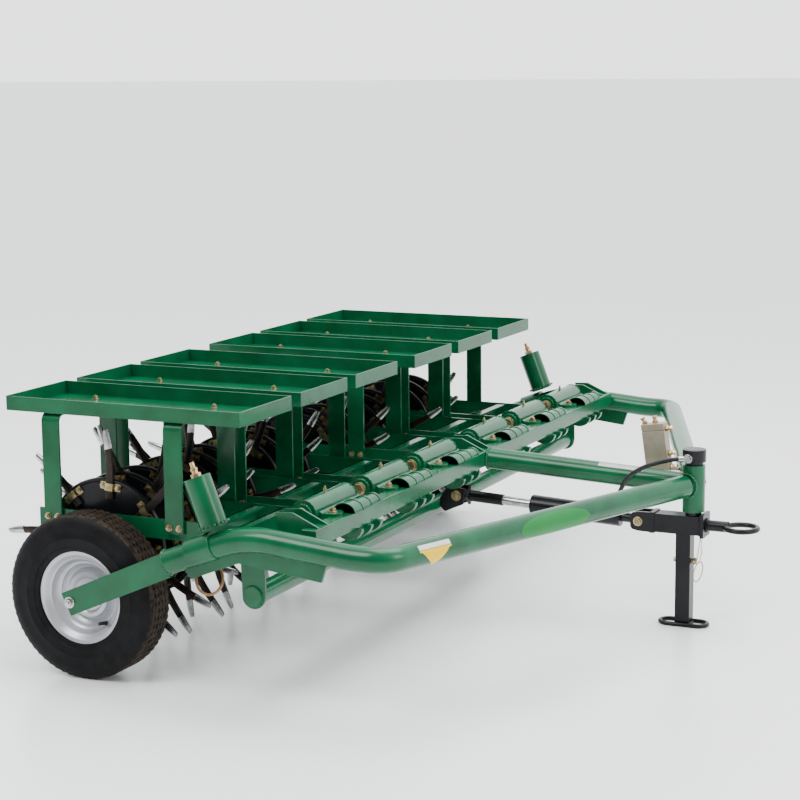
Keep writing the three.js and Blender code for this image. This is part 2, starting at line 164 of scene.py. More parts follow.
# Mesh making ----------------------------------------------------------------------------------
class Shape:
    """Collects simple solids in one mesh."""

    def __init__(self):
        self.mesh = bmesh.new()

    def rings(self, rings, closed=False, caps=True):
        """Joins rings of points into a skin; closed joins the last ring to the first."""
        made = [[self.mesh.verts.new(p) for p in ring] for ring in rings]
        pairs = list(zip(made, made[1:])) + ([(made[-1], made[0])] if closed else [])
        for a, b in pairs:
            for i in range(len(a)):
                j = (i + 1) % len(a)
                self.mesh.faces.new((a[i], a[j], b[j], b[i]))
        if caps and not closed:
            self.mesh.faces.new(made[0][::-1])
            self.mesh.faces.new(made[-1])

    def rod(self, a, b, r, r_end=None, sides=28):
        a = Vector(a)
        b = Vector(b)
        turn = (b - a).to_track_quat("Z", "Y")
        ends = ((a, r), (b, r if r_end is None else r_end))
        round_steps = [(math.cos(TAU * i / sides), math.sin(TAU * i / sides)) for i in range(sides)]
        self.rings([[p + turn @ Vector((radius * c, radius * s, 0)) for c, s in round_steps]
                    for p, radius in ends])

    def hexagon(self, a, b, r):
        self.rod(a, b, r, sides=6)

    def pipe(self, points, r, sides=20, closed=False):
        """A round bar along points."""
        points = [Vector(p) for p in points]
        count = len(points)
        side = None
        rings = []
        for i, point in enumerate(points):
            ahead = points[(i + 1) % count] if closed else points[min(i + 1, count - 1)]
            behind = points[i - 1] if closed or i else points[0]
            along = (ahead - behind).normalized()
            if side is None:
                side = along.orthogonal().normalized()
            side = (side - along * side.dot(along)).normalized()
            up = along.cross(side)
            angles = [TAU * k / sides for k in range(sides)]
            rings.append([point + side * (r * math.cos(a)) + up * (r * math.sin(a)) for a in angles])
        self.rings(rings, closed=closed)

    def box(self, low, high):
        (x0, y0, z0), (x1, y1, z1) = low, high
        self.rings([[(x0, y0, z), (x1, y0, z), (x1, y1, z), (x0, y1, z)] for z in (z0, z1)])

    def plate(self, outline, y0, y1):
        """A flat plate, its outline given as x and z in the machine's datum."""
        self.rings([[at(x, y, z) for x, z in outline] for y in (y0, y1)])

    def lathe(self, profile, x, y, z, sides=96):
        """A closed profile of (radius, offset along Y) turned round the Y axis through the point."""
        centre = at(x, y, z)
        self.rings([[centre + Vector((r * math.cos(TAU * i / sides), off, r * math.sin(TAU * i / sides)))
                     for r, off in profile] for i in range(sides)], closed=True)

    def strip(self, path, thick, x0, x1):
        """A flat bar bent along a path in the Y-Z plane, from x0 to x1."""
        path = [Vector(p) for p in path]
        rings = []
        for i, point in enumerate(path):
            along = (path[min(i + 1, len(path) - 1)] - path[max(i - 1, 0)]).normalized()
            inward = Vector((-along.y, along.x)) * thick
            inner = point + inward
            rings.append([at(x0, point.x, point.y), at(x1, point.x, point.y), at(x1, inner.x, inner.y),
                          at(x0, inner.x, inner.y)])
        self.rings(rings)

    def bead(self, centre, normal, radius, r=0.004, start=0.0, sweep=TAU):
        """A weld bead round a joint, with the ripple of a hand-laid weld."""
        normal = Vector(normal).normalized()
        side = normal.orthogonal().normalized()
        up = normal.cross(side)
        steps = 60
        points = []
        for i in range(steps):
            angle = start + sweep * i / steps
            ripple = radius + 0.0009 * math.sin(i * 1.9) + rng.uniform(-0.0005, 0.0005)
            out = side * (ripple * math.cos(angle)) + up * (ripple * math.sin(angle))
            points.append(Vector(centre) + out)
        self.pipe(points, r, sides=8, closed=sweep >= TAU)

    def piece(self, name, body, surface, bevel=0.0012, stands_for=()):
        bmesh.ops.recalc_face_normals(self.mesh, faces=self.mesh.faces)
        data = bpy.data.meshes.new(name)
        self.mesh.to_mesh(data)
        self.mesh.free()
        made = bpy.data.objects.new(name, data)
        bpy.context.collection.objects.link(made)
        data.materials.append(surface)
        return finish_piece(made, body, bevel, stands_for)


def finish_piece(made, body, bevel, stands_for):
    for face in made.data.polygons:
        face.use_smooth = True
    if bevel:
        edge = made.modifiers.new("edge", "BEVEL")
        edge.width = bevel
        edge.segments = 2
        edge.limit_method = "ANGLE"
        edge.angle_limit = FLAT_EDGE
        edge.harden_normals = True
    else:
        made.data.set_sharp_from_angle(angle=FLAT_EDGE)
    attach(made, body)
    if stands_for:
        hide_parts(*stands_for)
    return made


def bolt(shape, centre, direction, r, height):
    """A hex head on a washer."""
    centre = Vector(centre)
    way = Vector(direction).normalized()
    shape.rod(centre, centre + way * height * 0.25, r * 1.35, sides=24)
    shape.hexagon(centre + way * height * 0.25, centre + way * height, r)
    shape.rod(centre + way * height, centre + way * height * 1.35, r * 0.5, sides=14)


def bent_path(points, corners, steps=14):
    """Straight runs joined by rounded corners, as the frame's tubes are bent."""
    points = [Vector(p) for p in points]
    path = [points[0]]
    for i, reach in enumerate(corners, 1):
        corner = points[i]
        before = corner.lerp(points[i - 1], reach / (corner - points[i - 1]).length)
        after = corner.lerp(points[i + 1], reach / (corner - points[i + 1]).length)
        for k in range(steps + 1):
            t = k / steps
            path.append(before * (1 - t) ** 2 + corner * (2 * t * (1 - t)) + after * t ** 2)
    path.append(points[-1])
    return path


# Modules --------------------------------------------------------------------------------------
def tray(n, y):
    rear, front, half, top, floor, sheet = -0.247, 0.419, 0.132, 0.674, 0.637, 0.003
    shape = Shape()
    shape.box(at(rear, y - half, floor), at(front, y + half, floor + sheet))
    shape.box(at(rear, y - half, floor + 0.001), at(rear + sheet, y + half, top))
    shape.box(at(front - sheet, y - half, floor + 0.001), at(front, y + half, top))
    shape.box(at(rear + 0.0005, y - half, floor + 0.001), at(front - 0.0005, y - half + sheet, top - 0.0005))
    shape.box(at(rear + 0.0005, y + half - sheet, floor + 0.001), at(front - 0.0005, y + half, top - 0.0005))
    shape.piece(f"tray_{n}", f"module_{n}", GREEN, 0.0011, (f"weight_tray_{n}",))
    bolts = Shape()
    for x in HOOP_X:
        for side in (-0.075, 0.075):
            bolt(bolts, at(x, y + side, floor + sheet), (0, 0, 1), 0.0065, 0.008)
    bolts.piece(f"tray_bolts_{n}", f"module_{n}", ZINC, 0.0004)


def module_frame(n, y):
    shape = Shape()
    half, foot, top, radius = HOOP_HALF, 0.362, 0.6367, 0.022
    corner = [(radius * math.sin(a), radius * math.cos(a)) for a in (math.pi / 2 * k / 6 for k in range(7))]
    right = [(y + half - radius + s, top - radius + c) for s, c in corner]
    left = [(y - half + radius - s, top - radius + c) for s, c in corner]
    path = [(y - half, foot)] + left[::-1] + right + [(y + half, foot)]
    for x in HOOP_X:
        shape.strip(path[::-1], 0.006, x - 0.025, x + 0.025)
    outline = [(-0.165, 0.345), (-0.024, 0.345), (-0.022, 0.290), (-0.008, 0.278), (0.024, 0.278),
               (0.038, 0.290), (0.040, 0.345), (0.44, 0.345), (0.52, 0.385), (0.563, 0.417)]
    for k in range(9):
        turn = math.radians(-80 + 22 * k)
        outline.append((PIVOT[0] + 0.024 * math.cos(turn), PIVOT[1] + 0.024 * math.sin(turn)))
    outline += [(0.43, 0.395), (-0.165, 0.395)]
    for side in (-1, 1):
        middle = y + side * RAIL_Y
        shape.plate(outline, middle - 0.003, middle + 0.003)
        for x in HOOP_X:
            packer = y + side * 0.1235
            shape.box(at(x - 0.02, packer - 0.0025, 0.364), at(x + 0.02, packer + 0.0025, 0.392))
        shape.bead(at(PIVOT[0], middle - side * 0.004, PIVOT[1]), (0, 1, 0), 0.022, 0.0025)
    for x in (0.32, 0.40):
        shape.box(at(x - 0.003, y - 0.117, 0.352), at(x + 0.003, y + 0.117, 0.392))
        shape.box(at(x - 0.003, y - 0.117, 0.386), at(x + 0.027, y + 0.117, 0.392))
    shape.piece(f"frame_of_module_{n}", f"module_{n}", GREEN, 0.001, (f"module_frame_{n}",))
    bolts = Shape()
    for side in (-1, 1):
        for x in HOOP_X:
            for step in (-0.014, 0.014):
                bolt(bolts, at(x + step, y + side * half, 0.377), (0, side, 0), 0.0065, 0.008)
    bolts.piece(f"hoop_bolts_{n}", f"module_{n}", ZINC, 0.0004)


def pivot(n, y):
    shape = Shape()
    x, z = PIVOT
    shape.rod(at(x, y - 0.131, z), at(x, y + 0.131, z), 0.0125)
    for side in (-1, 1):
        shape.rod(at(x, y + side * 0.1223, z), at(x, y + side * 0.125, z), 0.0165)
        shape.hexagon(at(x, y + side * 0.125, z), at(x, y + side * 0.1335, z), 0.0150)
    shape.piece(f"pivot_{n}", f"module_{n}", ZINC, 0.0008, (f"pivot_bolt_{n}",))


def half_moon(x, z, radius, turned):
    """A half disc standing on the front bar, or hanging under it when turned by 180 degrees."""
    angles = [math.radians(turned + 180 * k / 16) for k in range(17)]
    return [(x + radius * 1.25 * math.cos(a), z + radius * math.sin(a)) for a in angles]


def hinge_sleeve(n, y):
    shape = Shape()
    x, z = PIVOT
    ring = [(0.0130, -0.111), (0.031, -0.111), (0.031, 0.111), (0.0130, 0.111)]
    shape.lathe(ring, x, y, z, sides=48)
    shape.plate([(0.600, 0.398), (0.6298, 0.392), (0.6298, 0.430), (0.601, 0.446)], y - 0.09, y + 0.119)
    for index, offset in enumerate(RIB_Y):
        grow = 0.0028 * (2 - index)
        low, high = y + offset - 0.0262, y + offset + 0.0262
        shape.plate([(0.604, 0.386), (0.6295, 0.380), (0.6295, 0.446), (0.604, 0.437)], low, high)
        shape.plate(half_moon(0.646, 0.4332, 0.0165 + grow, 0), low, high)
        for edge in (low, high - 0.007):
            shape.plate(half_moon(0.645, 0.4332, 0.0185 + grow, 0), edge, edge + 0.007)
        shape.plate(half_moon(0.646, 0.3908, 0.0285, 180), y + offset - 0.007, y + offset + 0.007)
        shape.plate(half_moon(0.646, 0.3908, 0.014, 180), low, high)
    shape.rod(at(0.628, y - 0.066, 0.40), at(0.628, y - 0.066, 0.440), 0.026)
    for side in (-1, 1):
        shape.bead(at(x, y + side * 0.1095, z), (0, 1, 0), 0.031, 0.0016)
    shape.piece(f"sleeve_{n}", "frame", GREEN, 0.0016, (f"hinge_sleeve_{n}",))
    metal = Shape()
    bolt(metal, at(0.628, y - 0.066, 0.440), (0, 0, 1), 0.0085, 0.008)
    metal.rod(at(x, y, z + 0.0305), at(x, y, z + 0.039), 0.0045, sides=16)
    metal.rod(at(x, y, z + 0.039), at(x, y, z + 0.045), 0.0032, 0.0022, sides=14)
    metal.piece(f"grease_nipple_{n}", "frame", ZINC, 0.0004)


def tine_point(y, angle, r, side):
    return at(DRUM_AXIS[0] + r * math.cos(angle) - side * math.sin(angle), y,
              DRUM_AXIS[1] + r * math.sin(angle) + side * math.cos(angle))


def bow(r):
    """How far a tine has swept back at radius r."""
    return 0.026 * ((r - 0.12) / 0.17) ** 2


def tine(shanks, tips, clamps, y, angle):
    face = y - 0.003
    rings = []
    for k in range(9):
        r = 0.118 + (0.245 - 0.118) * k / 8
        half = 0.0105 - 0.002 * k / 8
        rings.append([tine_point(face - depth, angle, r, bow(r) + side)
                      for side, depth in ((-half, 0.0), (half, 0.0), (half, 0.008), (half * 0.5, 0.0095),
                                          (-half * 0.5, 0.0095), (-half, 0.008))])
    shanks.rings(rings)
    spoon = []
    for k in range(8):
        r = 0.243 + (0.2885 - 0.243) * k / 7
        fat = 0.0098 - 0.0042 * (k / 7) ** 2
        ring = []
        for i in range(13):
            turn = math.radians(-150 + 300 * i / 12)
            outer_y = face - 0.0045 - fat * 0.62 * math.sin(turn)
            ring.append(tine_point(outer_y, angle, r + 0.004 * math.cos(turn), bow(r) - fat * math.cos(turn)))
        for i in range(12, -1, -1):
            turn = math.radians(-150 + 300 * i / 12)
            inner_y = face - 0.0045 - fat * 0.4 * math.sin(turn)
            ring.append(tine_point(inner_y, angle, r, bow(r) - fat * 0.68 * math.cos(turn)))
        spoon.append(ring)
    tips.rings(spoon)
    r = 0.149
    strap = [(-0.029, 0.0), (-0.029, 0.0032), (-0.0135, 0.0035), (-0.011, 0.0125), (0.011, 0.0125),
             (0.0135, 0.0035), (0.029, 0.0032), (0.029, 0.0), (0.012, 0.0), (0.0098, 0.0095),
             (-0.0098, 0.0095), (-0.012, 0.0)]
    clamps.rings([[tine_point(face - depth, angle, r + step, side) for side, depth in strap]
                  for step in (-0.0095, 0.0095)])
    for side in (-0.0215, 0.0215):
        start = tine_point(face - 0.003, angle, r, side)
        clamps.hexagon(start, start + Vector((0, -0.0055, 0)), 0.0068)
        clamps.rod(start + Vector((0, -0.0055, 0)), start + Vector((0, -0.009, 0)), 0.0036, sides=10)
        back = tine_point(y + 0.003, angle, r, side)
        clamps.hexagon(back, back + Vector((0, 0.005, 0)), 0.0068)


def drum(n, y, phase):
    body = f"drum_{n}"
    discs = Shape()
    shanks = Shape()
    tips = Shape()
    clamps = Shape()
    x, z = DRUM_AXIS
    discs.rod(at(x, y - 0.128, z), at(x, y + 0.128, z), 0.017)
    for row, offset in enumerate(DISC_Y):
        face = y + offset
        profile = [(0.018, -0.003), (0.158, -0.003), (0.1605, -0.0065), (0.166, -0.0065), (0.168, -0.003),
                   (0.168, 0.003), (0.018, 0.003)]
        discs.lathe(profile, x, face, z, sides=72)
        discs.rod(at(x, face - 0.022, z), at(x, face + 0.022, z), 0.034)
        for i in range(TINES):
            tine(shanks, tips, clamps, face, phase + TAU * (i + row / len(DISC_Y)) / TINES)
    discs.piece(f"discs_{n}", body, BLACK, 0.0008, (f"tine_drum_{n}",))
    shanks.piece(f"tine_shanks_{n}", body, WORN, 0.0009)
    tips.piece(f"tine_tips_{n}", body, STEEL, 0)
    clamps.piece(f"tine_clamps_{n}", body, ZINC, 0)


# Running gear ---------------------------------------------------------------------------------
def tyre(name, side):
    """A ribbed road tyre: straight grooves with zigzag walls, and a shaped side wall."""
    ribs = []
    for start in (-0.036, -0.0215, -0.0072, 0.0072, 0.0215):
        ribs += [(0.2045, start + 0.0006, 0), (0.2045, start + 0.0125, 1), (0.1985, start + 0.0120, 1),
                 (0.1985, start + 0.0145, 0)]
    wall = [(0.1168, -0.040), (0.1166, -0.046), (0.122, -0.0485), (0.128, -0.0487), (0.1295, -0.0505),
            (0.150, -0.0528), (0.152, -0.0515), (0.172, -0.0525), (0.190, -0.049), (0.200, -0.042)]
    outer = [(r, y, 0) for r, y in wall] + [(0.2045, -0.0375, 1)] + ribs[:-1]
    outer += [(0.2045, 0.0375, 1)] + [(r, -y, 0) for r, y in wall[::-1]]
    profile = outer + [(0.1070, 0.025, 0), (0.1070, -0.025, 0)]
    steps = 264
    shape = Shape()
    centre = at(WHEEL[0], side * WHEEL[1], WHEEL[2])
    rings = []
    for i in range(steps):
        angle = TAU * i / steps
        zigzag = 0.0013 if (i // 2) % 2 else -0.0013
        notch = 0.0022 if i % 4 == 0 else 0.0
        rings.append([centre + Vector(((r - notch * edge) * math.cos(angle), y + zigzag * edge,
                                       (r - notch * edge) * math.sin(angle))) for r, y, edge in profile])
    shape.rings(rings, closed=True)
    made = shape.piece(f"road_tyre_{name}", f"wheel_{name}", RUBBER, 0, (f"tyre_{name}",))
    made.data.materials.append(TREAD)
    for face in made.data.polygons:
        middle = face.center - centre
        if math.hypot(middle.x, middle.z) > 0.196:
            face.material_index = 1


def wheel(name, side):
    body = f"wheel_{name}"
    x, y, z = WHEEL
    tyre(name, side)
    rim = [(0.013, 0.030), (0.013, -0.026), (0.021, -0.026), (0.024, -0.020), (0.026, -0.006),
           (0.040, -0.004), (0.047, -0.010), (0.056, -0.008), (0.060, 0.002), (0.066, 0.006),
           (0.073, 0.003), (0.078, -0.006), (0.084, -0.008), (0.089, -0.014), (0.094, -0.026),
           (0.100, -0.029), (0.104, -0.037), (0.110, -0.0405), (0.1155, -0.041), (0.1155, -0.0385),
           (0.109, -0.035), (0.106, -0.026), (0.106, 0.026), (0.109, 0.035), (0.1155, 0.0385),
           (0.1155, 0.041), (0.106, 0.038), (0.098, 0.022), (0.070, 0.012), (0.034, 0.004), (0.030, 0.030)]
    shape = Shape()
    if side > 0:
        rim = [(r, -off) for r, off in rim]
    shape.lathe(rim, x, side * y, z, sides=120)
    shape.piece(f"rim_{name}", body, SILVER, 0, (f"wheel_rim_{name}",))
    valve = Shape()
    foot = at(x + 0.052, side * 1.006, z - 0.066)
    tip = at(x + 0.050, side * 1.030, z - 0.062)
    valve.rod(foot, tip, 0.0052, 0.0042, sides=16)
    valve.rod(tip, tip + Vector((0, side * 0.006, 0)), 0.0048, 0.0040, sides=16)
    valve.piece(f"valve_{name}", body, HOSE, 0.0005)
    axle = Shape()
    axle.rod(at(x, side * 0.955, z), at(x, side * 1.084, z), 0.0125)
    axle.rod(at(x, side * 1.0747, z), at(x, side * 1.0645, z), 0.020)
    axle.hexagon(at(x, side * 0.966, z), at(x, side * 0.956, z), 0.019)
    axle.piece(f"axle_shaft_{name}", "frame", ZINC, 0.0008, (f"axle_{name}",))
    head = Shape()
    bolt(head, at(x, side * 1.0853, z), (0, side, 0), 0.0105, 0.0105)
    head.piece(f"axle_nut_{name}", "frame", STEEL, 0.0006)


def side_points(side):
    y = side * SIDE_Y
    return [at(0.292, y, 0.330), at(0.500, y, 0.411), at(0.776, y, 0.387),
            at(SIDE_KNEE[0], y, SIDE_KNEE[1]), at(SIDE_END[0], side * SIDE_END[1], SIDE_END[2])]


def side_frame(name, side):
    path = bent_path(side_points(side), (0.070, 0.030, 0.050))
    tube = Shape()
    tube.pipe(path, TUBE_R, sides=40)
    tube.piece(f"bent_tube_{name}", "frame", GREEN, 0.002, (f"side_tube_{name}",))
    y = side * SIDE_Y
    arm = Shape()
    arm_y = side * ARM_Y
    outline = [(0.019, 0.171), (-0.007, 0.225), (0.2785, 0.3515), (0.3015, 0.2955)]
    arm.plate(outline, arm_y - 0.005, arm_y + 0.005)
    along = Vector((0.208, 0, 0.081)).normalized()
    arm.bead(at(0.293, y, 0.3305), along, TUBE_R - 0.001, 0.0035)
    arm.piece(f"arm_{name}", "frame", GREEN, 0.0014, (f"wheel_arm_{name}",))
    stiffener(name, y)
    hanger(name, side)
    lift_post(name, side)


def stiffener(name, y):
    """The strip under a side tube, stitch-welded on both faces."""
    under = Shape()
    outline = [(0.335, 0.322), (0.357, 0.297), (0.485, 0.347), (0.699, 0.323), (0.712, 0.362), (0.500, 0.385)]
    under.plate(outline, y - 0.005, y + 0.005)
    for x0, z0, x1, z1 in ((0.37, 0.333, 0.405, 0.347), (0.43, 0.357, 0.465, 0.371),
                           (0.54, 0.379, 0.58, 0.376), (0.62, 0.372, 0.66, 0.369)):
        for face in (-0.006, 0.006):
            stitch = [at(x0 + (x1 - x0) * k / 6, y + face, z0 + (z1 - z0) * k / 6 + 0.0006 * (k % 2))
                      for k in range(7)]
            under.pipe(stitch, 0.003, sides=8)
    under.piece(f"stiffener_{name}", "frame", GREEN, 0.001, (f"gusset_{name}",))


def hanger(name, side):
    """The plate that holds an end of the lower cross tube."""
    hang = Shape()
    outline = [(0.474, 0.388), (0.538, 0.388), (0.540, 0.268)]
    for k in range(1, 10):
        turn = math.radians(-5 - 17 * k)
        outline.append((LOW_TUBE[0] + 0.031 * math.cos(turn), LOW_TUBE[1] + 0.031 * math.sin(turn)))
    hang.plate(outline, side * 1.050, side * 1.056)
    hang.bead(at(LOW_TUBE[0], side * 1.0485, LOW_TUBE[1]), (0, 1, 0), 0.026, 0.003)
    hang.bead(at(LOW_TUBE[0], side * 1.0565, LOW_TUBE[1]), (0, 1, 0), 0.0245, 0.0020)
    hang.piece(f"hanger_plate_{name}", "frame", GREEN, 0.0012, (f"hanger_{name}",))


def lift_post(name, side):
    post_y = side * (SIDE_Y - 0.006)
    low = at(0.418, post_y, 0.424)
    top = at(0.373, post_y, 0.540)
    lean = (top - low).normalized()
    shape = Shape()
    shape.rod(low, top, 0.033, sides=48)
    shape.rod(at(0.3565, side * SIDE_Y, 0.3585), at(0.4235, side * SIDE_Y, 0.3845), 0.0345, sides=48)
    across = Vector((0, 1, 0))
    ahead = across.cross(lean)
    for k in range(22):
        turn = TAU * k / 22
        where = low + lean * 0.004 + across * (0.0335 * math.cos(turn)) + ahead * (0.036 * math.sin(turn))
        shape.rod(where, where + lean * 0.006, 0.005, 0.004, sides=10)
    shape.piece(f"post_{name}", "frame", GREEN, 0.0016, (f"lift_post_{name}",))
    fitting = Shape()
    fitting.hexagon(top, top + lean * 0.009, 0.0125)
    fitting.rod(top + lean * 0.009, top + lean * 0.016, 0.0075, sides=18)
    fitting.hexagon(top + lean * 0.016, top + lean * 0.022, 0.009)
    fitting.rod(top + lean * 0.022, top + lean * 0.036, 0.0055, sides=18)
    fitting.piece(f"post_fitting_{name}", "frame", BRASS, 0.0006)


# Main frame -----------------------------------------------------------------------------------
def main_frame():
    bar = Shape()
    bar.box(at(0.630, -1.046, 0.391), at(0.668, 1.046, 0.433))
    bar.piece("front_beam", "frame", GREEN, 0.0025, ("front_bar",))
    ends = Shape()
    for y in (-1.02, -0.975, -0.022, 0.022, 0.975, 1.02):
        ends.plate([(0.553, 0.462), (0.596, 0.464), (0.664, 0.4335), (0.664, 0.4328), (0.6295, 0.4328),
                    (0.6295, 0.394), (0.560, 0.405)], y - 0.003, y + 0.003)
    ends.piece("beam_end_plates", "frame", GREEN, 0.0008)
    low = Shape()
    low.rod(at(LOW_TUBE[0], -1.062, LOW_TUBE[1]), at(LOW_TUBE[0], 1.062, LOW_TUBE[1]), 0.024, sides=40)
    low.piece("cross_tube", "frame", GREEN, 0.0015, ("lower_cross_tube",))
    centre = Shape()
    centre.rod(at(0.6685, 0, 0.411), at(1.224, 0, 0.384), 0.029, sides=40)
    centre.bead(at(0.670, 0, 0.411), (1, 0, -0.05), 0.029, 0.004)
    centre.piece("middle_tube", "frame", GREEN, 0.001, ("centre_tube",))
    head = Shape()
    head.rod(at(HEAD_X, 0, 0.311), at(HEAD_X, 0, 0.437), 0.0295, sides=48)
    for side in (-1, 1):
        toward = Vector((-0.377, side * 1.036, 0)).normalized()
        head.bead(at(HEAD_X, 0, 0.384) + toward * 0.031, toward, 0.0305, 0.0035)
    head.bead(at(1.221, 0, 0.384), (1, 0, -0.05), 0.0295, 0.0035)
    head.piece("head", "frame", GREEN, 0.0022, ("head_tube",))
    cap = Shape()
    cap.rod(at(HEAD_X, 0, 0.4373), at(HEAD_X, 0, 0.446), 0.024, sides=40)
    cap.rod(at(HEAD_X, 0, 0.445), at(HEAD_X, 0, 0.478), 0.031, sides=48)
    cap.rod(at(HEAD_X, 0, 0.477), at(HEAD_X, 0, 0.4785), 0.024, sides=40)
    cap.piece("head_cap", "frame", BLACK, 0.002, ("cylinder_cap",))
    label_plate()


def label_plate():
    """A thin plain plate bent over the top of the centre tube."""
    label = Shape()
    turns = [math.radians(8 + 34 * k / 8) for k in range(9)]
    rows = []
    for x in (0.99, 1.115):
        z = 0.411 - (x - 0.6685) * 0.0486
        rows.append([at(x, -radius * math.sin(a), z + radius * math.cos(a))
                     for radius, way in ((0.0296, 1), (0.0288, -1)) for a in turns[::way]])
    label.rings(rows)
    label.piece("plain_label_plate", "frame", GREY, 0)


def tube_patch(name, centre_t, half_length, half_turn, surface, shape_of):
    """A thin plain patch that lies on the right side tube's straight run."""
    start = at(SIDE_KNEE[0], -SIDE_Y, SIDE_KNEE[1])
    end = at(SIDE_END[0], -SIDE_END[1], SIDE_END[2])
    along = (end - start).normalized()
    out = Vector((along.y, -along.x, 0)).normalized()
    up = along.cross(out)
    up = up if up.z > 0 else -up
    middle = start.lerp(end, centre_t)
    steps = 24
    patch = Shape()
    rings = []
    for k in range(steps + 1):
        s = -1 + 2 * k / steps
        low, high = shape_of(s)
        ring = []
        for radius in (TUBE_R + 0.0006, TUBE_R - 0.0005):
            turns = [half_turn * (low + (high - low) * i / 10) for i in range(11)]
            if radius < TUBE_R:
                turns = turns[::-1]
            station = middle + along * (s * half_length)
            ring += [station + out * (radius * math.cos(a)) + up * (radius * math.sin(a)) for a in turns]
        rings.append(ring)
    patch.rings(rings)
    patch.piece(name, "frame", surface, 0)


def decals():
    def oval(s):
        reach = max(0.02, math.sqrt(max(0.0, 1 - s * s)))
        return -reach, reach

    def shield(s):
        return min(0.3, -1 + abs(s) * 1.5), 0.42

    def heading(_):
        return 0.46, 0.84

    tube_patch("plain_oval_patch", 0.501, 0.128, math.radians(60), OVAL, oval)
    tube_patch("plain_yellow_patch", 0.121, 0.051, math.radians(62), YELLOW, shield)
    tube_patch("plain_white_patch", 0.121, 0.051, math.radians(62), WHITE, heading)


# Hitch ----------------------------------------------------------------------------------------
def hitch():
    rear = at(0.580, 0, 0.301)
    front = at(1.105, 0, DRAW_Z)
    lug = Shape()
    outline = [(0.531, 0.268), (0.545, 0.254), (0.600, 0.278), (0.606, 0.322), (0.560, 0.328), (0.530, 0.292)]
    lug.plate(outline, -0.026, -0.018)
    lug.plate(outline, 0.018, 0.026)
    lug.plate([(0.530, 0.268), (0.545, 0.256), (0.550, 0.262), (0.550, 0.322), (0.533, 0.300)], -0.02, 0.02)
    lug.piece("strut_bracket", "frame", BLACK, 0.0012, ("strut_lug",))
    pins = Shape()
    bolt(pins, rear + Vector((0, -0.026, 0)), (0, -1, 0), 0.011, 0.006)
    bolt(pins, rear + Vector((0, 0.026, 0)), (0, 1, 0), 0.011, 0.006)
    pins.piece("strut_rear_pin", "frame", ZINC, 0.0006)
    way = (front - rear).normalized()
    rod = Shape()
    rod.rod(rear - way * 0.016, rear + way * 0.028, 0.0155, sides=4)
    rod.rod(rear + way * 0.026, rear + way * 0.034, 0.026, sides=4)
    rod.rod(rear + way * 0.033, rear + way * 0.131, 0.0155, sides=36)
    rod.piece("strut_end", "strut_rod", BLACK, 0.0012, ("strut_rod",))
    shaft = Shape()
    shaft.rod(rear + way * 0.130, rear + way * 0.374, 0.0125, sides=40)
    for k in (0.175, 0.181, 0.187):
        shaft.rod(rear + way * k, rear + way * (k + 0.003), 0.0128, sides=40)
    shaft.piece("strut_shaft", "strut_rod", STEEL, 0.0004)
    barrel = Shape()
    barrel.rod(rear + way * 0.2155, rear + way * 0.472, 0.0265, sides=48)
    barrel.rod(rear + way * 0.2150, rear + way * 0.222, 0.0262, sides=48)
    barrel.rod(rear + way * 0.470, front - way * 0.012, 0.013, sides=32)
    ring = [(0.0105, -0.012), (0.017, -0.012), (0.017, 0.012), (0.0105, 0.012)]
    barrel.lathe(ring, 1.105, 0, DRAW_Z, sides=40)
    barrel.piece("strut_tube", "strut_barrel", BLACK, 0.0016, ("strut_barrel",))
    drawbar(front)
    jack()


def drawbar(front):
    bar = Shape()
    bar.box(at(1.143, -0.025, 0.251), at(1.279, 0.025, 0.301))
    ear = [(1.0835, 0.262), (1.088, 0.254), (1.105, 0.250), (1.150, 0.249), (1.150, 0.303), (1.105, 0.302),
           (1.088, 0.298), (1.0835, 0.290)]
    for y0, y1 in ((-0.025, -0.016), (0.016, 0.025)):
        bar.plate(ear, y0, y1)
    bar.box(at(1.138, -0.027, 0.248), at(1.150, 0.027, 0.304))
    bar.box(at(1.2765, -0.032, 0.246), at(1.286, 0.032, 0.308))
    bar.rod(at(HEAD_X, 0, 0.290), at(HEAD_X, 0, 0.420), 0.0215, sides=40)
    bar.rod(at(1.280, 0, DRAW_Z), at(1.345, 0, DRAW_Z), 0.0145, sides=36)
    bar.pipe([at(1.380 + 0.042 * math.cos(TAU * k / 64), 0.042 * math.sin(TAU * k / 64), DRAW_Z)
              for k in range(64)], 0.007, sides=20, closed=True)
    bar.bead(at(1.288, 0, DRAW_Z), (1, 0, 0), 0.0155, 0.003)
    bar.bead(at(1.340, 0, DRAW_Z), (1, 0, 0), 0.011, 0.003)
    for k in range(14):
        z = 0.252 + 0.0038 * k
        for side in (-1, 1):
            bar.rod(at(1.2745, side * 0.026, z), at(1.2765, side * 0.028, z + 0.002), 0.003, sides=8)
    bar.piece("draw_beam", "drawbar", BLACK, 0.0014, ("drawbar",))
    pin = Shape()
    pin.rod(front + Vector((0, -0.03, 0)), front + Vector((0, 0.03, 0)), 0.008)
    for side in (-1, 1):
        bolt(pin, front + Vector((0, side * 0.0252, 0)), (0, side, 0), 0.0095, 0.0085)
    pin.piece("clevis_pin", "drawbar", ZINC, 0.0006)


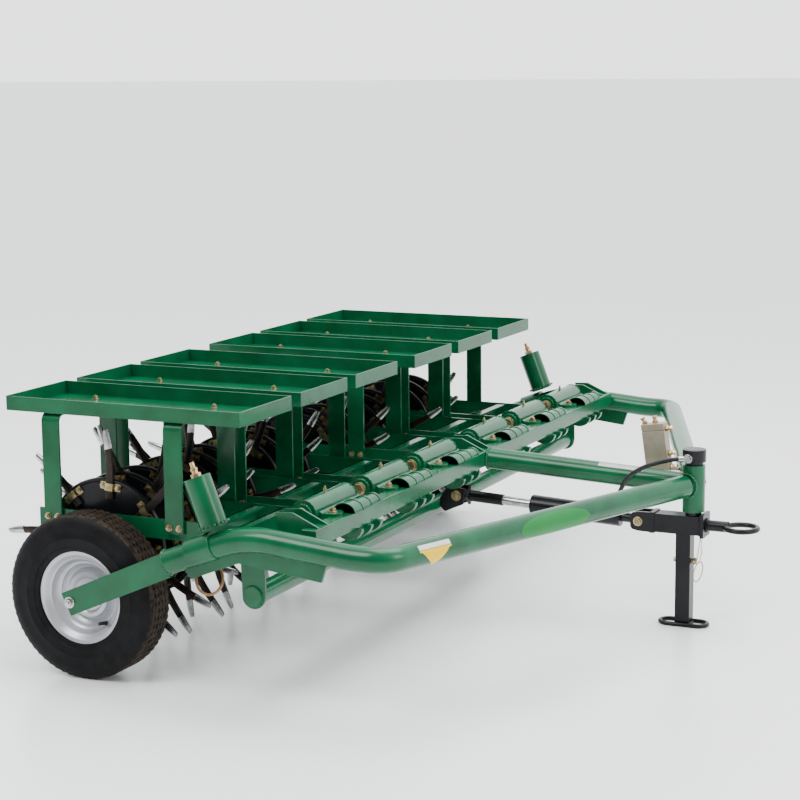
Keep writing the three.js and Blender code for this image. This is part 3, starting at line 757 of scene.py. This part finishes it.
def jack():
    leg = Shape()
    leg.box(at(1.208, -0.020, 0.006), at(1.248, 0.020, 0.291))
    half, r = 0.0265, 0.0055
    loop = []
    for cx, first in ((1.266, -90), (1.190, 90)):
        turns = [math.radians(first + 15 * k) for k in range(13)]
        loop += [at(cx + half * math.cos(a), half * math.sin(a), r) for a in turns]
    leg.pipe(loop, r, sides=16, closed=True)
    leg.box(at(1.205, -0.022, 0.0005), at(1.251, 0.022, 0.0075))
    leg.piece("drop_leg", "jack", BLACK, 0.0013, ("jack_leg",))
    pin = Shape()
    pin.rod(at(1.198, 0, LEG_PIN_Z), at(1.262, 0, LEG_PIN_Z), 0.006, sides=24)
    pin.rod(at(1.252, 0, LEG_PIN_Z), at(1.260, 0, LEG_PIN_Z), 0.009, sides=24)
    pin.piece("leg_pin", "jack", ZINC, 0.0006, ("jack_pin",))
    clip = Shape()
    turns = [TAU * k / 28 for k in range(28)]
    clip.pipe([at(1.268 + 0.011 * math.sin(a) + 0.006 * math.cos(a), -0.010, 0.150 + 0.028 * math.cos(a))
               for a in turns], 0.0014, sides=8, closed=True)
    outer_wire = [(1.272, -0.010, 0.180), (1.278, -0.014, 0.205), (1.279, -0.020, 0.232),
                  (1.277, -0.024, 0.249)]
    inner_wire = [(1.264, -0.008, 0.182), (1.269, -0.012, 0.212), (1.277, -0.022, 0.247)]
    for wire in (outer_wire, inner_wire):
        clip.pipe([at(*p) for p in wire], 0.0013, sides=8)
    clip.piece("wire_clip", "jack", ZINC, 0)


def hydraulics():
    route = [(1.238, -0.034, 0.456), (1.205, -0.050, 0.455), (1.168, -0.062, 0.446), (1.125, -0.062, 0.428),
             (1.085, -0.052, 0.398), (1.060, -0.040, 0.358), (1.052, -0.034, 0.335)]
    points = smooth_line([at(*p) for p in route], 8)
    hose = Shape()
    hose.pipe(points, 0.006, sides=20)
    hose.piece("hydraulic_hose", "frame", HOSE, 0, ("hose",))
    banjo = Shape()
    banjo.rod(at(1.244, -0.028, 0.458), at(1.244, -0.042, 0.458), 0.012, sides=28)
    banjo.hexagon(at(1.244, -0.042, 0.458), at(1.244, -0.049, 0.458), 0.009)
    banjo.rod(points[0], points[5], 0.0078, sides=24)
    banjo.rod(points[0] + Vector((0.006, 0.002, 0.001)), points[0], 0.0055, sides=20)
    banjo.piece("banjo_fitting", "frame", STEEL, 0.0006)
    flow_divider()
    pull_ring()


def flow_divider():
    block = Shape()
    middle = at(1.104, 0.140, 0.447)
    lean = Matrix.Rotation(-0.14, 4, "Y")
    for levels in ((-0.067, 0.0475), (0.048, 0.067)):
        corners = [[(-0.032, -0.020, z), (0.032, -0.020, z), (0.032, 0.020, z), (-0.032, 0.020, z)]
                   for z in levels]
        block.rings([[middle + lean @ Vector(p) for p in ring] for ring in corners])
    block.box(at(1.110, 0.130, 0.388), at(1.168, 0.150, 0.396))
    block.piece("divider_block", "frame", TAN, 0.0018, ("flow_divider",))
    fittings = Shape()
    ports = ((0.032, 0, 0.050, (1, 0, 0)), (0.032, 0, -0.018, (1, 0, 0)), (0.032, 0, -0.056, (1, 0, 0)),
             (0.004, 0, 0.067, (0, 0, 1)), (-0.022, -0.006, 0.067, (-0.4, 0, 1)))
    for x, y, z, way in ports:
        start = middle + lean @ Vector((x, y, z))
        along = (lean.to_3x3() @ Vector(way)).normalized()
        fittings.hexagon(start, start + along * 0.007, 0.0085)
        fittings.rod(start + along * 0.007, start + along * 0.014, 0.0055, sides=16)
        fittings.hexagon(start + along * 0.014, start + along * 0.019, 0.0075)
    fittings.piece("divider_fittings", "frame", BRASS, 0.0005)


def pull_ring():
    ring = Shape()
    turns = [TAU * k / 40 for k in range(40)]
    ring.pipe([at(0.385 + 0.036 * math.cos(a), -1.045 + 0.010 * math.sin(a), 0.292 + 0.036 * math.sin(a))
               for a in turns], 0.0035, sides=12, closed=True)
    ring.piece("pull_ring", "frame", BRONZE, 0)


def smooth_line(points, steps):
    """A Catmull-Rom line through the points."""
    line = []
    for i in range(len(points) - 1):
        a = points[max(i - 1, 0)]
        b, c = points[i], points[i + 1]
        d = points[min(i + 2, len(points) - 1)]
        for k in range(steps):
            t = k / steps
            line.append(0.5 * (2 * b + (c - a) * t + (2 * a - 5 * b + 4 * c - d) * t ** 2
                               + (3 * b - a - 3 * c + d) * t ** 3))
    return line + [points[-1]]


# Studio ---------------------------------------------------------------------------------------
def studio():
    floor_mesh = bmesh.new()
    bmesh.ops.create_grid(floor_mesh, x_segments=2, y_segments=2, size=200)
    data = bpy.data.meshes.new("floor")
    floor_mesh.to_mesh(data)
    floor_mesh.free()
    floor = bpy.data.objects.new("floor", data)
    bpy.context.collection.objects.link(floor)
    data.materials.append(material("studio_floor", (0.90, 0.91, 0.91), (0.93, 0.94, 0.94), rough=(0.22, 0.32),
                                   bump=0.0, patch=1))
    world = bpy.context.scene.world or bpy.data.worlds.new("studio")
    bpy.context.scene.world = world
    world.use_nodes = True
    sky = world.node_tree.nodes["Background"]
    sky.inputs["Color"].default_value = (0.97, 0.985, 1.0, 1)
    where = world.node_tree.nodes.new("ShaderNodeTexCoord")
    split = world.node_tree.nodes.new("ShaderNodeSeparateXYZ")
    spread = world.node_tree.nodes.new("ShaderNodeMapRange")
    spread.inputs["From Min"].default_value = -0.75
    spread.inputs["From Max"].default_value = 0.35
    spread.inputs["To Min"].default_value = 0.32
    spread.inputs["To Max"].default_value = 2.5
    world.node_tree.links.new(where.outputs["Generated"], split.inputs["Vector"])
    world.node_tree.links.new(split.outputs["Y"], spread.inputs["Value"])
    world.node_tree.links.new(spread.outputs["Result"], sky.inputs["Strength"])
    lamps = (("key", (-1.5, -3.5, 4.2), 2.2, 170), ("fill", (4.5, -1.5, 3.0), 2.0, 90),
             ("top", (0.5, 0.5, 5.0), 3.5, 260))
    for name, place, size, power in lamps:
        lamp = bpy.data.lights.new(name, "AREA")
        lamp.size = size
        lamp.energy = power
        made = bpy.data.objects.new(name, lamp)
        made.location = place
        aim = Vector((0, 0, 0.3)) - Vector(place)
        made.rotation_euler = aim.to_track_quat("-Z", "Y").to_euler()
        bpy.context.collection.objects.link(made)


make_camera()
for number, lateral in enumerate(MODULE_Y, 1):
    tray(number, lateral)
    module_frame(number, lateral)
    pivot(number, lateral)
    hinge_sleeve(number, lateral)
    drum(number, lateral, -0.12 - (number - 1) * 0.21)
for label, flank in (("right", -1), ("left", 1)):
    wheel(label, flank)
    side_frame(label, flank)
main_frame()
decals()
hitch()
hydraulics()
studio()
